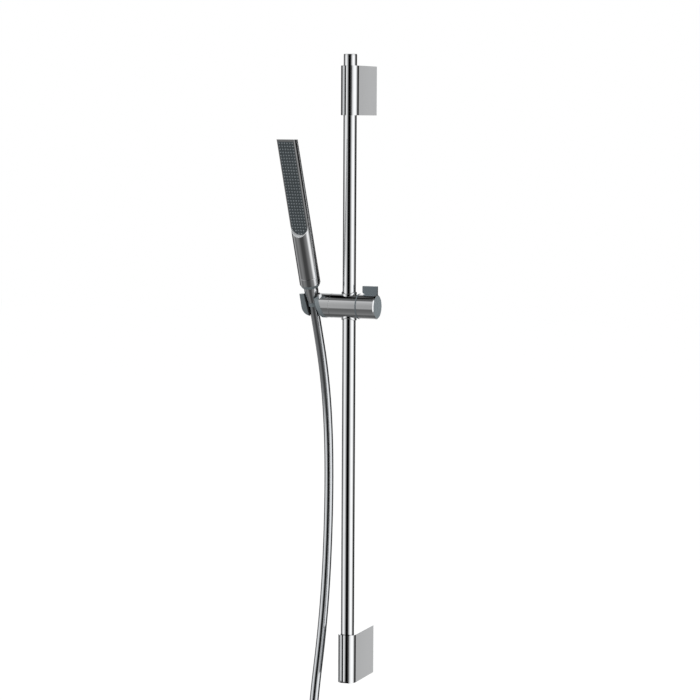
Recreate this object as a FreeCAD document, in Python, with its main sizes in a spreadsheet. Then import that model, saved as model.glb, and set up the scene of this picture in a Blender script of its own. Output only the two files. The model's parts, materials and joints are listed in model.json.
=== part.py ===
import FreeCAD, Part
import math
import os
import re

import Sketcher

# A shower slide rail: a round rail on two wall brackets, a slider that runs along it,
# a tilting cup on the slider, the hand shower that sits in the cup, and its hose.
# The origin is the middle of the lower bracket's wall face, +Z up, +Y into the wall.

SIZES = {
    # rail
    "rail_diameter": 18.0,
    "rail_wall_thickness": 1.2,
    "bracket_spacing": 775.0,
    "rail_end_above_bracket": 15.5,
    "plug_rim_height": 1.6,
    "plug_chamfer": 0.6,
    "plug_skirt_height": 9.0,
    "plug_wall": 1.8,
    "plug_floor_thickness": 2.4,
    # wall brackets
    "wall_distance": 67.5,
    "bracket_width": 25.0,
    "bracket_height": 66.5,
    "slot_half_angle": 29.0,
    "wall_plate_width": 17.6,
    "wall_plate_margin": 7.45,
    "wall_plate_thickness": 10.0,
    "plate_hole_spacing": 34.0,
    "plate_hole_diameter": 5.2,
    "countersink_diameter": 10.4,
    "countersink_depth": 2.6,
    "grub_screw_diameter": 5.0,
    "grub_screw_length": 7.0,
    "socket_key_size": 2.5,
    "socket_depth": 2.5,
    # slider
    "slider_centre_height": 484.5,
    "slider_diameter": 33.6,
    "slider_left_end": 24.0,
    "slider_right_end": 14.4,
    "collar_diameter": 20.6,
    "collar_height": 2.6,
    "liner_thickness": 0.5,
    "liner_inner_end": 4.5,
    "liner_outer_end": 16.0,
    "friction_ring_thickness": 1.3,
    "friction_ring_step": 0.5,
    # lock
    "lock_end": 41.07,
    "end_chamfer": 1.3,
    "stub_diameter": 18.0,
    "stub_shank_diameter": 12.0,
    "stub_shank_start": 10.8,
    "stub_shoulder_end": 31.9,
    "stub_neck_diameter": 16.0,
    "stub_neck_length": 1.1,
    "clip_thickness": 0.8,
    "clip_diameter": 21.6,
    "collar_cavity_diameter": 24.0,
    "hub_thickness": 4.0,
    "end_cap_thickness": 2.0,
    "spindle_diameter": 6.1,
    "brake_shoe_diameter": 8.0,
    "brake_shoe_end": 13.0,
    "brake_shoe_travel": 1.0,
    "spindle_reach": 1.0,
    "hub_clearance": 0.3,
    "lever_start": 19.7,
    "lever_height": 27.8,
    "lever_foot_height": 16.0,
    "lever_thickness": 3.6,
    "lever_foot_radius": 3.5,
    # tilting holder
    "handset_offset": 52.0,
    "handset_tilt": 22.8,
    "cup_diameter": 33.8,
    "cup_top_height": 15.3,
    "cup_bore_radius": 8.0,
    "cup_bore_half_angle": 4.3,
    "cup_slot_half_angle": 56.0,
    "neck_start": 11.0,
    "neck_start_radius": 5.34,
    "flare_end": 19.0,
    "flare_radius": 16.3,
    "pivot_diameter": 14.0,
    "pivot_length": 7.9,
    "o_ring_section": 1.76,
    "o_ring_groove_width": 1.9,
    "o_ring_groove_offset": 2.6,
    "tilt_washer_thickness": 0.7,
    "tilt_washer_diameter": 9.2,
    "tilt_screw_diameter": 5.0,
    "tilt_screw_head_diameter": 8.6,
    "tilt_screw_head_height": 1.8,
    "tilt_screw_length": 15.0,
    "pivot_web": 3.0,
    # handset
    "handset_bottom": 28.8,
    "handset_bottom_diameter": 24.0,
    "handset_diameter": 28.2,
    "handset_top_diameter": 27.4,
    "handset_chamfer_height": 4.5,
    "end_ring_height": 15.2,
    "handset_top": 246.8,
    "spray_flat_depth": 6.2,
    "spray_flat_bottom": 107.4,
    "spray_margin": 2.3,
    "spray_mat_thickness": 1.6,
    "spray_mat_top": 243.4,
    "jet_plate_thickness": 2.0,
    "seal_thickness": 1.0,
    "seal_width": 1.6,
    "chamber_depth": 3.0,
    "nozzle_columns": 6,
    "nozzle_column_pitch": 3.8,
    "nozzle_row_pitch": 4.37,
    "nozzle_base_diameter": 2.0,
    "nozzle_tip_diameter": 1.2,
    "nozzle_height": 0.8,
    "nozzle_root_depth": 0.4,
    "nozzle_edge_margin": 0.3,
    "nozzle_top_margin": 1.0,
    "spigot_diameter": 13.0,
    "spigot_bore": 8.4,
    "spigot_flange_diameter": 20.0,
    "spigot_flange_thickness": 3.0,
    "water_bore": 16.0,
    "water_bore_end": 112.0,
    # hose nut
    "nut_bottom": 6.0,
    "nut_bottom_radius": 7.6,
    "nut_shoulder": 20.0,
    "nut_shoulder_radius": 9.6,
    "nut_top_radius": 9.8,
    "nut_floor_thickness": 6.0,
    "washer_thickness": 1.4,
    "filter_thickness": 0.8,
    "hose_bore": 8.0,
    "top_sleeve_length": 6.5,
    "top_sleeve_diameter": 13.6,
    # hose
    "hose_diameter": 12.5,
    "coil_turns": 2,
    "coil_mean_radius": 65.0,
    "coil_side_room": 0.5,
    "coil_corner": 3.1,
    "tie_width": 10.0,
    "tie_thickness": 1.0,
    "tie_slack": 0.6,
    "hose_tail_length": 48.0,
    "end_sleeve_length": 18.0,
    "end_sleeve_diameter": 15.0,
    "end_nut_across_flats": 24.0,
    "end_nut_height": 14.0,
    "end_nut_wall": 2.0,
    "end_nut_floor": 3.0,
    "end_washer_thickness": 2.0,
    # clearances
    "running_clearance": 0.05,
    "seat_clearance": 0.1,
    "bracket_clearance": 0.05,
    "passage_clearance": 0.35,
    "washer_clearance": 0.15,
}

# The hose hangs from the cup, drifts back towards the wall and comes forward again.
HOSE_POINTS = [
    (-52.0, -67.25, 483.9),
    (-51.6, -50.1, 443.0),
    (-50.2, -35.5, 398.0),
    (-49.0, -25.5, 350.0),
    (-48.1, -20.5, 300.0),
    (-47.5, -19.5, 250.0),
    (-46.9, -21.8, 200.0),
    (-46.2, -26.8, 150.0),
    (-45.7, -33.8, 100.0),
    (-46.2, -41.5, 52.0),
    (-48.1, -49.0, 5.0),
    (-51.3, -56.0, -42.0),
    (-54.2, -60.0, -88.0),
    (-55.5, -61.0, -128.0),
]
ARC_SHARE = 0.45
COIL_CENTRE_DROP = 12.0

X_AXIS = FreeCAD.Vector(1, 0, 0)
Y_AXIS = FreeCAD.Vector(0, 1, 0)
Z_AXIS = FreeCAD.Vector(0, 0, 1)
NO_TURN = FreeCAD.Rotation()
ALONG_X = FreeCAD.Rotation(Y_AXIS, 90)
ALONG_Y = FreeCAD.Rotation(X_AXIS, -90)
UPSIDE_DOWN = FreeCAD.Rotation(X_AXIS, 180)
FRONT_ANGLE = 270.0
CUT_MARGIN = 1.0
# A profile's corners start on this circle, in millimetres, until their distances are set.
GUESS_CENTRE, GUESS_RADIUS = 20.0, 5.0

document = FreeCAD.newDocument("shower_slide_rail")
sheet = document.addObject("Spreadsheet::Sheet", "dims")
for row, (alias, value) in enumerate(SIZES.items(), start=1):
    sheet.set(f"A{row}", alias)
    sheet.set(f"B{row}", str(value))
    sheet.setAlias(f"B{row}", alias)
document.recompute()

SUB_PARTS = []


def size(alias):
    """The value of one driving dimension."""
    return float(sheet.get(alias))


def bound(text):
    """An expression in which each driving dimension points at its sheet cell."""
    def cell(word):
        return f"dims.{word[0]}" if word[0] in SIZES else word[0]
    return re.sub(r"[a-z_]+", cell, str(text))


def place(piece, at, turn=NO_TURN):
    """Put a piece at a point given as three expressions, with a rotation."""
    piece.Placement = FreeCAD.Placement(FreeCAD.Vector(), turn)
    for axis, text in zip("xyz", at):
        piece.setExpression(f"Placement.Base.{axis}", bound(text))
    return piece


def cylinder(name, radius, height, at, turn=NO_TURN):
    piece = document.addObject("Part::Cylinder", name)
    piece.setExpression("Radius", bound(radius))
    piece.setExpression("Height", bound(height))
    return place(piece, at, turn)


def sector(name, radius, height, half_angle, at, turn=NO_TURN):
    """A wedge of a cylinder that opens towards the front."""
    piece = cylinder(name, radius, height, at)
    piece.setExpression("Angle", bound(f"2 * {half_angle}"))
    to_front = FreeCAD.Rotation(Z_AXIS, FRONT_ANGLE - size(half_angle))
    return place(piece, at, turn.multiply(to_front))


def cone(name, low_radius, high_radius, height, at, turn=NO_TURN):
    piece = document.addObject("Part::Cone", name)
    piece.setExpression("Radius1", bound(low_radius))
    piece.setExpression("Radius2", bound(high_radius))
    piece.setExpression("Height", bound(height))
    return place(piece, at, turn)


def box(name, width, depth, height, at, turn=NO_TURN):
    piece = document.addObject("Part::Box", name)
    piece.setExpression("Length", bound(width))
    piece.setExpression("Width", bound(depth))
    piece.setExpression("Height", bound(height))
    return place(piece, at, turn)


def hexagon(name, across_flats, height, at, turn=NO_TURN):
    piece = document.addObject("Part::Prism", name)
    piece.Polygon = 6
    piece.setExpression("Circumradius", bound(f"{across_flats} / (2 * cos(30))"))
    piece.setExpression("Height", bound(height))
    return place(piece, at, turn)


def fuse(name, pieces):
    joined = document.addObject("Part::MultiFuse", name)
    joined.Shapes = pieces
    joined.Refine = True
    return joined


def cut(name, base, tools):
    tool = tools[0] if len(tools) == 1 else fuse(f"{name}_tools", tools)
    result = document.addObject("Part::Cut", name)
    result.Base = base
    result.Tool = tool
    result.Refine = True
    return result


def common(name, first, second):
    shared = document.addObject("Part::Common", name)
    shared.Base = first
    shared.Tool = second
    return shared


def turned(name, profile, at, turn=NO_TURN):
    """A turned piece: its profile is a closed list of radius and height expressions."""
    body = document.addObject("PartDesign::Body", name)
    plane = [item for item in body.Origin.OriginFeatures if item.Role == "XZ_Plane"][0]
    sketch = body.newObject("Sketcher::SketchObject", f"{name}_profile")
    sketch.AttachmentSupport = (plane, "")
    sketch.MapMode = "FlatFace"
    count = len(profile)
    middle = FreeCAD.Vector(GUESS_CENTRE, GUESS_CENTRE, 0)
    arm = FreeCAD.Vector(GUESS_RADIUS, 0, 0)
    guess = [middle + FreeCAD.Rotation(Z_AXIS, 360 * i / count).multVec(arm) for i in range(count)]
    for i in range(count):
        sketch.addGeometry(Part.LineSegment(guess[i], guess[(i + 1) % count]), False)
    for i in range(count):
        sketch.addConstraint(Sketcher.Constraint("Coincident", i, 2, (i + 1) % count, 1))
    for i, (radius, height) in enumerate(profile):
        if str(radius) == "0":
            sketch.addConstraint(Sketcher.Constraint("PointOnObject", i, 1, -2))
        else:
            index = sketch.addConstraint(Sketcher.Constraint("DistanceX", -1, 1, i, 1, guess[i].x))
            sketch.setExpression(f"Constraints[{index}]", bound(radius))
        if str(height) == "0":
            sketch.addConstraint(Sketcher.Constraint("PointOnObject", i, 1, -1))
        else:
            index = sketch.addConstraint(Sketcher.Constraint("DistanceY", -1, 1, i, 1, guess[i].y))
            sketch.setExpression(f"Constraints[{index}]", bound(height))
    revolution = body.newObject("PartDesign::Revolution", f"{name}_turning")
    revolution.Profile = sketch
    revolution.ReferenceAxis = (sketch, ["V_Axis"])
    revolution.Angle = 360
    return place(body, at, turn)


def ring(name, inner, outer, height, at, turn=NO_TURN):
    return turned(name, [(inner, 0), (outer, 0), (outer, height), (inner, height)], at, turn)


def keep(piece, label):
    """Name a finished sub-part."""
    piece.Label = label
    SUB_PARTS.append(piece)
    return piece


RAIL_RADIUS = "rail_diameter / 2"
RAIL_BORE = "(rail_diameter / 2 - rail_wall_thickness)"
RAIL_BOTTOM = "-bracket_height / 2"
RAIL_TOP = "(bracket_spacing + bracket_height / 2 + rail_end_above_bracket)"
WALL_PLATE_HEIGHT = "(bracket_height - 2 * wall_plate_margin)"
SLIDER_RADIUS = "slider_diameter / 2"
COLLAR_START = "(slider_right_end + friction_ring_thickness + seat_clearance)"
TILT = FreeCAD.Rotation(X_AXIS, size("handset_tilt"))


def on_rail(height):
    """A point on the rail's axis."""
    return ("0", "-wall_distance", height)


def on_slider(offset):
    """A point on the slider's cross axis, offset along +X."""
    return (offset, "-wall_distance", "slider_centre_height")


def on_handset(along, back="0", across="0"):
    """A point of the handset's leaning frame: along its axis, back from it and across it."""
    return (
        f"-handset_offset + {across}",
        f"-wall_distance - ({along}) * sin(handset_tilt) + ({back}) * cos(handset_tilt)",
        f"slider_centre_height + ({along}) * cos(handset_tilt) + ({back}) * sin(handset_tilt)",
    )


def make_rail():
    length = f"{RAIL_TOP} - {RAIL_BOTTOM} - 2 * plug_rim_height"
    base = on_rail(f"{RAIL_BOTTOM} + plug_rim_height")
    keep(ring("tube", RAIL_BORE, RAIL_RADIUS, length, base), "rail_tube")
    skirt = f"{RAIL_BORE} - running_clearance"
    top = "plug_skirt_height + plug_rim_height"
    profile = [
        (f"{skirt} - plug_wall", 0),
        (skirt, 0),
        (skirt, "plug_skirt_height"),
        (RAIL_RADIUS, "plug_skirt_height"),
        (RAIL_RADIUS, f"{top} - plug_chamfer"),
        (f"{RAIL_RADIUS} - plug_chamfer", top),
        (0, top),
        (0, f"{top} - plug_floor_thickness"),
        (f"{skirt} - plug_wall", f"{top} - plug_floor_thickness"),
    ]
    keep(turned("upper_plug", profile, on_rail(f"{RAIL_TOP} - ({top})")), "top_plug")
    keep(turned("lower_plug", profile, on_rail(f"{RAIL_BOTTOM} + {top}"), UPSIDE_DOWN), "bottom_plug")


def grub_screw(name, at, turn):
    """A headless screw with a hexagon socket in its outer end."""
    stem = cylinder(f"{name}_stem", "grub_screw_diameter / 2", "grub_screw_length", at, turn)
    return cut(name, stem, [hexagon(f"{name}_socket", "socket_key_size", "socket_depth", at, turn)])


def make_wall_bracket(side, height):
    """A C-shaped clamp round the rail, hollow at the wall for its plate."""
    base = f"{height} - bracket_height / 2"
    half = "bracket_width / 2"
    block = box(f"{side}_block", "bracket_width", "wall_distance", "bracket_height",
                (f"-{half}", "-wall_distance", base))
    nose = cylinder(f"{side}_nose", half, "bracket_height", on_rail(base))
    over = f"bracket_height + 2 * {CUT_MARGIN}"
    under = f"{base} - {CUT_MARGIN}"
    bore = cylinder(f"{side}_bore", f"{RAIL_RADIUS} + bracket_clearance", over, on_rail(under))
    slot = sector(f"{side}_slot", "bracket_width", over, "slot_half_angle", on_rail(under))
    pocket_width = "(wall_plate_width + 2 * seat_clearance)"
    pocket_height = f"({WALL_PLATE_HEIGHT} + 2 * seat_clearance)"
    pocket_depth = "(wall_plate_thickness + seat_clearance)"
    pocket = box(f"{side}_pocket", pocket_width, f"{pocket_depth} + {CUT_MARGIN}", pocket_height,
                 (f"-{pocket_width} / 2", f"-{pocket_depth}", f"{height} - {pocket_height} / 2"))
    hole = "grub_screw_diameter / 2 + running_clearance"
    plate_screw_hole = cylinder(f"{side}_plate_screw_hole", hole, "bracket_height / 2",
                                ("0", "-wall_plate_thickness / 2", under))
    tube_screw_hole = cylinder(f"{side}_tube_screw_hole", hole, "wall_distance",
                               ("0", "-wall_distance", height), ALONG_Y)
    solid = fuse(f"{side}_solid", [block, nose])
    tools = [bore, slot, pocket, plate_screw_hole, tube_screw_hole]
    keep(cut(f"{side}_clamp", solid, tools), f"{side}_bracket")


def make_wall_plate(side, height):
    """The plate that is screwed to the wall and carries the bracket."""
    plate = box(f"{side}_plate_block", "wall_plate_width", "wall_plate_thickness", WALL_PLATE_HEIGHT,
                ("-wall_plate_width / 2", "-wall_plate_thickness", f"{height} - {WALL_PLATE_HEIGHT} / 2"))
    holes = []
    for sign in (-1, 1):
        at = ("0", "-wall_plate_thickness", f"{height} + {sign} * plate_hole_spacing / 2")
        name = f"{side}_plate_{'low' if sign < 0 else 'high'}"
        holes.append(cylinder(f"{name}_hole", "plate_hole_diameter / 2", "wall_plate_thickness",
                              at, ALONG_Y))
        holes.append(cone(f"{name}_sink", "countersink_diameter / 2", "plate_hole_diameter / 2",
                          "countersink_depth", at, ALONG_Y))
    keep(cut(f"{side}_plate_cut", plate, holes), f"{side}_wall_plate")


def make_bracket_screws(side, height):
    plate_edge = f"{height} - {WALL_PLATE_HEIGHT} / 2 - running_clearance - grub_screw_length"
    keep(grub_screw(f"{side}_plate_grub", ("0", "-wall_plate_thickness / 2", plate_edge), NO_TURN),
         f"{side}_plate_screw")
    rail_back = f"-wall_distance + {RAIL_RADIUS} + running_clearance + grub_screw_length"
    keep(grub_screw(f"{side}_rail_grub", ("0", rail_back, height), FreeCAD.Rotation(X_AXIS, 90)),
         f"{side}_tube_screw")


def make_liners():
    """Two thin liners between the rail and the slider's bore."""
    inner = f"{RAIL_RADIUS} + running_clearance"
    outer = f"{inner} + liner_thickness"
    length = "liner_outer_end - liner_inner_end"
    for side, base in (("upper", "+ liner_inner_end"), ("lower", "- liner_outer_end")):
        keep(ring(f"{side}_bush", inner, outer, length, on_rail(f"slider_centre_height {base}")),
             f"{side}_liner")


def make_slider_body():
    """The cross tube with a saddle collar above and below, bored for rail, pivot and lock."""
    width = "slider_left_end + slider_right_end"
    barrel = cylinder("slider_barrel", SLIDER_RADIUS, width, on_slider("-slider_left_end"), ALONG_X)
    raised = cylinder("collar_rise", f"{SLIDER_RADIUS} + collar_height", width,
                      on_slider("-slider_left_end"), ALONG_X)
    post = cylinder("collar_post", "collar_diameter / 2", "2 * slider_diameter",
                    on_rail("slider_centre_height - slider_diameter"))
    solid = fuse("slider_solid", [barrel, common("saddle_collars", raised, post)])
    passage_radius = f"{RAIL_RADIUS} + passage_clearance"
    passage = cylinder("rail_passage", passage_radius, "2 * slider_diameter",
                       on_rail("slider_centre_height - slider_diameter"))
    liner_radius = f"{RAIL_RADIUS} + 2 * running_clearance + liner_thickness"
    reach = "slider_diameter"
    high_seat = cylinder("high_liner_seat", liner_radius, reach,
                         on_rail("slider_centre_height + liner_inner_end - running_clearance"))
    low_seat = cylinder("low_liner_seat", liner_radius, reach,
                        on_rail(f"slider_centre_height - liner_inner_end + running_clearance - {reach}"))
    pivot_bore = cylinder("pivot_bore", "pivot_diameter / 2 + running_clearance",
                          "pivot_length + seat_clearance", on_slider("-slider_left_end"), ALONG_X)
    web_end = "-slider_left_end + pivot_length + seat_clearance + pivot_web"
    web_hole = cylinder("web_hole", "tilt_screw_diameter / 2 + running_clearance", "slider_left_end",
                        on_slider("-slider_left_end"), ALONG_X)
    head_room = cylinder("head_room", "tilt_screw_head_diameter / 2 + passage_clearance",
                         "slider_left_end - pivot_length - seat_clearance - pivot_web",
                         on_slider(web_end), ALONG_X)
    brake_bore = cylinder("brake_bore", "brake_shoe_diameter / 2 + running_clearance", "slider_right_end",
                          on_slider("0"), ALONG_X)
    stub_seat = cylinder("stub_seat", "stub_shank_diameter / 2 + running_clearance",
                         "slider_right_end", on_slider("stub_shank_start - running_clearance"), ALONG_X)
    tools = [passage, high_seat, low_seat, pivot_bore, web_hole, head_room, brake_bore, stub_seat]
    keep(cut("slider_cut", solid, tools), "slider_body")


def make_lock_stub():
    """The fixed stub on which the locking collar turns, its ring and its clip."""
    shank = "stub_shank_diameter / 2"
    shoe_bore = "brake_shoe_diameter / 2 + running_clearance"
    spindle_bore = "spindle_diameter / 2 + running_clearance"
    shoe_end = "brake_shoe_end + brake_shoe_travel - stub_shank_start"
    shoulder = "slider_right_end + friction_ring_thickness + running_clearance - stub_shank_start"
    neck = "stub_shoulder_end - stub_shank_start"
    end = f"{neck} + stub_neck_length"
    profile = [
        (shoe_bore, 0),
        (shank, 0),
        (shank, shoulder),
        ("stub_diameter / 2", shoulder),
        ("stub_diameter / 2", neck),
        ("stub_neck_diameter / 2", neck),
        ("stub_neck_diameter / 2", end),
        (spindle_bore, end),
        (spindle_bore, shoe_end),
        (shoe_bore, shoe_end),
    ]
    keep(turned("stub", profile, on_slider("stub_shank_start"), ALONG_X), "lock_stub")
    keep(ring("seam_ring", f"{shank} + running_clearance", f"{SLIDER_RADIUS} + friction_ring_step",
              "friction_ring_thickness", on_slider("slider_right_end"), ALONG_X), "friction_ring")
    keep(ring("clip", "stub_neck_diameter / 2 + running_clearance", "clip_diameter / 2", "clip_thickness",
              on_slider("stub_shoulder_end + seat_clearance"), ALONG_X), "lock_clip")


def make_brake():
    """The shoe that presses on the rail and the spindle that pushes it."""
    shoe = cylinder("shoe_blank", "brake_shoe_diameter / 2", "brake_shoe_end", on_slider("0"), ALONG_X)
    saddle = cylinder("shoe_saddle", f"{RAIL_RADIUS} + running_clearance", "slider_diameter",
                      on_rail("slider_centre_height - slider_diameter / 2"))
    keep(cut("shoe", shoe, [saddle]), "brake_shoe")
    end = "stub_shoulder_end + stub_neck_length + hub_thickness + spindle_reach"
    keep(cylinder("spindle", "spindle_diameter / 2", f"{end} - brake_shoe_end",
                  on_slider("brake_shoe_end"), ALONG_X), "brake_spindle")


def make_lock_collar():
    """The turning collar with its flat lever, hollow round the stub."""
    end = f"lock_end - {COLLAR_START}"
    cap_seat = f"{end} - end_cap_thickness"
    shoulder = f"stub_shoulder_end - running_clearance - {COLLAR_START}"
    bore = "stub_diameter / 2 + running_clearance"
    mouth = f"{SLIDER_RADIUS} - end_chamfer"
    shell = [
        (bore, 0),
        (SLIDER_RADIUS, 0),
        (SLIDER_RADIUS, f"{end} - end_chamfer"),
        (mouth, end),
        (f"{mouth} - running_clearance", end),
        (f"{mouth} - running_clearance", cap_seat),
        ("collar_cavity_diameter / 2", cap_seat),
        ("collar_cavity_diameter / 2", shoulder),
        (bore, shoulder),
    ]
    drum = turned("collar_shell", shell, on_slider(COLLAR_START), ALONG_X)
    keep(fuse("collar_with_lever", [drum, *lever_pieces()]), "lock_collar")
    keep(ring("hub", "spindle_diameter / 2 + running_clearance",
              "collar_cavity_diameter / 2 - running_clearance", "hub_thickness",
              on_slider("stub_shoulder_end + stub_neck_length + hub_clearance"), ALONG_X), "lock_hub")
    radius = f"{SLIDER_RADIUS} - end_chamfer - 2 * running_clearance"
    keep(turned("cap", [(0, 0), (radius, 0), (radius, "end_cap_thickness"), (0, "end_cap_thickness")],
                on_slider("lock_end - end_cap_thickness"), ALONG_X), "end_cap")


def lever_pieces():
    """The flat tab on the collar: its blade, its free side and the round corner at its foot."""
    front = "-wall_distance - lever_thickness / 2"
    foot = "slider_centre_height + lever_foot_height"
    round_middle = f"slider_centre_height + {SLIDER_RADIUS} + seat_clearance + lever_foot_radius"
    rise = "slider_centre_height + lever_height"
    blade = box("lever_blade", "lock_end - lever_start - lever_foot_radius", "lever_thickness",
                f"{rise} - ({foot})", ("lever_start + lever_foot_radius", front, foot))
    side = box("lever_side", "lever_foot_radius", "lever_thickness", f"{rise} - ({round_middle})",
               ("lever_start", front, round_middle))
    corner = cylinder("lever_corner", "lever_foot_radius", "lever_thickness",
                      ("lever_start + lever_foot_radius", front, round_middle), ALONG_Y)
    return [blade, side, corner]


def make_holder_cup():
    """The slotted cone cup: a round-ended barrel along the handset, flared into the cross tube."""
    barrel = cylinder("cup_barrel", "cup_diameter / 2", "cup_diameter", on_handset("0"), TILT)
    ball = document.addObject("Part::Sphere", "cup_ball")
    ball.setExpression("Radius", bound("cup_diameter / 2"))
    place(ball, on_handset("0"))
    above = box("cup_top_cut", "2 * cup_diameter", "2 * cup_diameter", "2 * cup_diameter",
                ("-handset_offset - cup_diameter", "-wall_distance - cup_diameter",
                 "slider_centre_height + cup_top_height"))
    cup = cut("cup_outside", fuse("cup_round", [barrel, ball]), [above])
    seam = "handset_offset - slider_left_end - seat_clearance"
    tip = "seat_clearance + pivot_length"
    groove = "pivot_diameter / 2 - o_ring_section - running_clearance / 2"
    pivot = "pivot_diameter / 2"
    groove_start = f"{seam} + o_ring_groove_offset"
    groove_end = f"{groove_start} + o_ring_groove_width"
    profile = [
        (0, "neck_start"),
        ("neck_start_radius", "neck_start"),
        ("flare_radius", "flare_end"),
        (SLIDER_RADIUS, seam),
        (pivot, seam),
        (pivot, groove_start),
        (groove, groove_start),
        (groove, groove_end),
        (pivot, groove_end),
        (pivot, f"{seam} + {tip}"),
        (0, f"{seam} + {tip}"),
    ]
    neck = turned("cup_neck", profile, on_slider("-handset_offset"), ALONG_X)
    reach = "cup_diameter"
    slope = "tan(cup_bore_half_angle)"
    bore = cone("cup_bore", f"cup_bore_radius - {reach} * {slope}", f"cup_bore_radius + {reach} * {slope}",
                f"2 * {reach}", on_handset(f"-{reach}"), TILT)
    slot = sector("cup_slot", "cup_diameter / 2 + seat_clearance", f"2 * {reach}", "cup_slot_half_angle",
                  on_handset(f"-{reach}"), TILT)
    screw_tip = "-slider_left_end + pivot_length - tilt_screw_length + pivot_web"
    screw_hole = cylinder("holder_screw_hole", "tilt_screw_diameter / 2 + running_clearance",
                          "tilt_screw_length", on_slider(screw_tip), ALONG_X)
    keep(cut("cup", fuse("cup_solid", [cup, neck]), [bore, slot, screw_hole]), "holder_cup")


def make_pivot_fittings():
    """The O-ring, washer and screw that hold the cup's pivot."""
    seal = document.addObject("Part::Torus", "pivot_seal")
    seal.setExpression("Radius1", bound("pivot_diameter / 2 - o_ring_section / 2 - running_clearance / 4"))
    seal.setExpression("Radius2", bound("o_ring_section / 2 - running_clearance / 4"))
    middle = "-slider_left_end - seat_clearance + o_ring_groove_offset + o_ring_groove_width / 2"
    keep(place(seal, on_slider(middle), ALONG_X), "holder_o_ring")
    web_end = "-slider_left_end + pivot_length + seat_clearance + pivot_web"
    keep(ring("pivot_washer", "tilt_screw_diameter / 2 + washer_clearance", "tilt_washer_diameter / 2",
              "tilt_washer_thickness", on_slider(f"{web_end} + running_clearance"), ALONG_X), "tilt_washer")
    under_head = f"{web_end} + 2 * running_clearance + tilt_washer_thickness"
    head = cylinder("screw_head", "tilt_screw_head_diameter / 2", "tilt_screw_head_height",
                    on_slider(under_head), ALONG_X)
    stem = cylinder("screw_stem", "tilt_screw_diameter / 2", "tilt_screw_length",
                    on_slider(f"{under_head} - tilt_screw_length"), ALONG_X)
    socket = hexagon("screw_socket", "socket_key_size", "socket_depth",
                     on_slider(f"{under_head} + tilt_screw_head_height - socket_depth"), ALONG_X)
    keep(cut("pivot_screw", fuse("screw_solid", [head, stem]), [socket]), "holder_screw")


FLAT_HALF_WIDTH = "sqrt(pow(handset_diameter / 2; 2) - pow(spray_flat_depth; 2))"
FLAT_ROUND_CENTRE = f"(spray_flat_bottom + {FLAT_HALF_WIDTH})"
MAT_HALF_WIDTH = f"({FLAT_HALF_WIDTH} - spray_margin)"


def stadium(name, half_width, top, front, thickness):
    """A plate with a round lower end, upright along the handset; front is its face's depth."""
    tall = box(f"{name}_tall", f"2 * {half_width}", thickness, f"{top} - {FLAT_ROUND_CENTRE}",
               on_handset(FLAT_ROUND_CENTRE, front, f"-{half_width}"), TILT)
    lying = TILT.multiply(ALONG_Y)
    round_end = cylinder(f"{name}_end", half_width, thickness, on_handset(FLAT_ROUND_CENTRE, front), lying)
    return fuse(name, [tall, round_end])


def make_handset_body():
    """The stick: a slightly tapered tube with a flat spray front and a level top."""
    start = "(handset_bottom + end_ring_height)"
    blank = cone("stick_blank", "handset_diameter / 2", "handset_top_diameter / 2",
                 f"handset_top + handset_diameter - {start}", on_handset(start), TILT)
    level = box("level_top", "2 * handset_diameter", "3 * handset_diameter", "2 * handset_diameter",
                (
                    "-handset_offset - handset_diameter",
                    "-wall_distance - handset_top * sin(handset_tilt) - 2 * handset_diameter",
                    "slider_centre_height + handset_top * cos(handset_tilt)"
                    " - spray_flat_depth * sin(handset_tilt)",
                ))
    flat = stadium("spray_flat", FLAT_HALF_WIDTH, "handset_top + handset_diameter",
                   "-handset_diameter", "handset_diameter - spray_flat_depth")
    depth = "(spray_mat_thickness + jet_plate_thickness + seal_thickness + 3 * running_clearance)"
    room = f"({MAT_HALF_WIDTH} + seat_clearance)"
    recess = stadium("spray_recess", room, "spray_mat_top + seat_clearance", "-handset_diameter",
                     f"handset_diameter - spray_flat_depth + {depth}")
    chamber = stadium("water_chamber", f"({MAT_HALF_WIDTH} - seal_width)", "spray_mat_top - seal_width",
                      "-spray_flat_depth", f"{depth} + chamber_depth")
    flange_room = cylinder("flange_room", "spigot_flange_diameter / 2 + running_clearance",
                           "spigot_flange_thickness + running_clearance", on_handset(start), TILT)
    water = cylinder("water_way", "water_bore / 2", f"water_bore_end - {start}", on_handset(start), TILT)
    tools = [level, flat, recess, chamber, flange_room, water]
    keep(cut("stick", blank, tools), "handset_body")


def make_end_ring():
    """The ring that closes the handset's lower end, with its wide chamfer."""
    bore = "spigot_diameter / 2 + running_clearance"
    height = "end_ring_height - running_clearance"
    profile = [
        (bore, 0),
        ("handset_bottom_diameter / 2", 0),
        ("handset_diameter / 2", "handset_chamfer_height"),
        ("handset_diameter / 2", height),
        (bore, height),
    ]
    keep(turned("end_ring", profile, on_handset("handset_bottom"), TILT), "handset_end_ring")


def make_spigot():
    """The inlet: a pipe into the nut with a flange that the end ring clamps."""
    flange = "handset_bottom + end_ring_height"
    washers = "filter_thickness + washer_thickness + 2 * running_clearance"
    foot = f"(nut_bottom + nut_floor_thickness + {washers})"
    length = f"{flange} + 2 * spigot_flange_thickness - {foot}"
    profile = [
        ("spigot_bore / 2", 0),
        ("spigot_diameter / 2", 0),
        ("spigot_diameter / 2", f"{flange} - {foot}"),
        ("spigot_flange_diameter / 2", f"{flange} - {foot}"),
        ("spigot_flange_diameter / 2", f"{flange} + spigot_flange_thickness - {foot}"),
        ("spigot_diameter / 2", f"{flange} + spigot_flange_thickness - {foot}"),
        ("spigot_diameter / 2", length),
        ("spigot_bore / 2", length),
    ]
    keep(turned("spigot", profile, on_handset(foot), TILT), "inlet_spigot")


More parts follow.
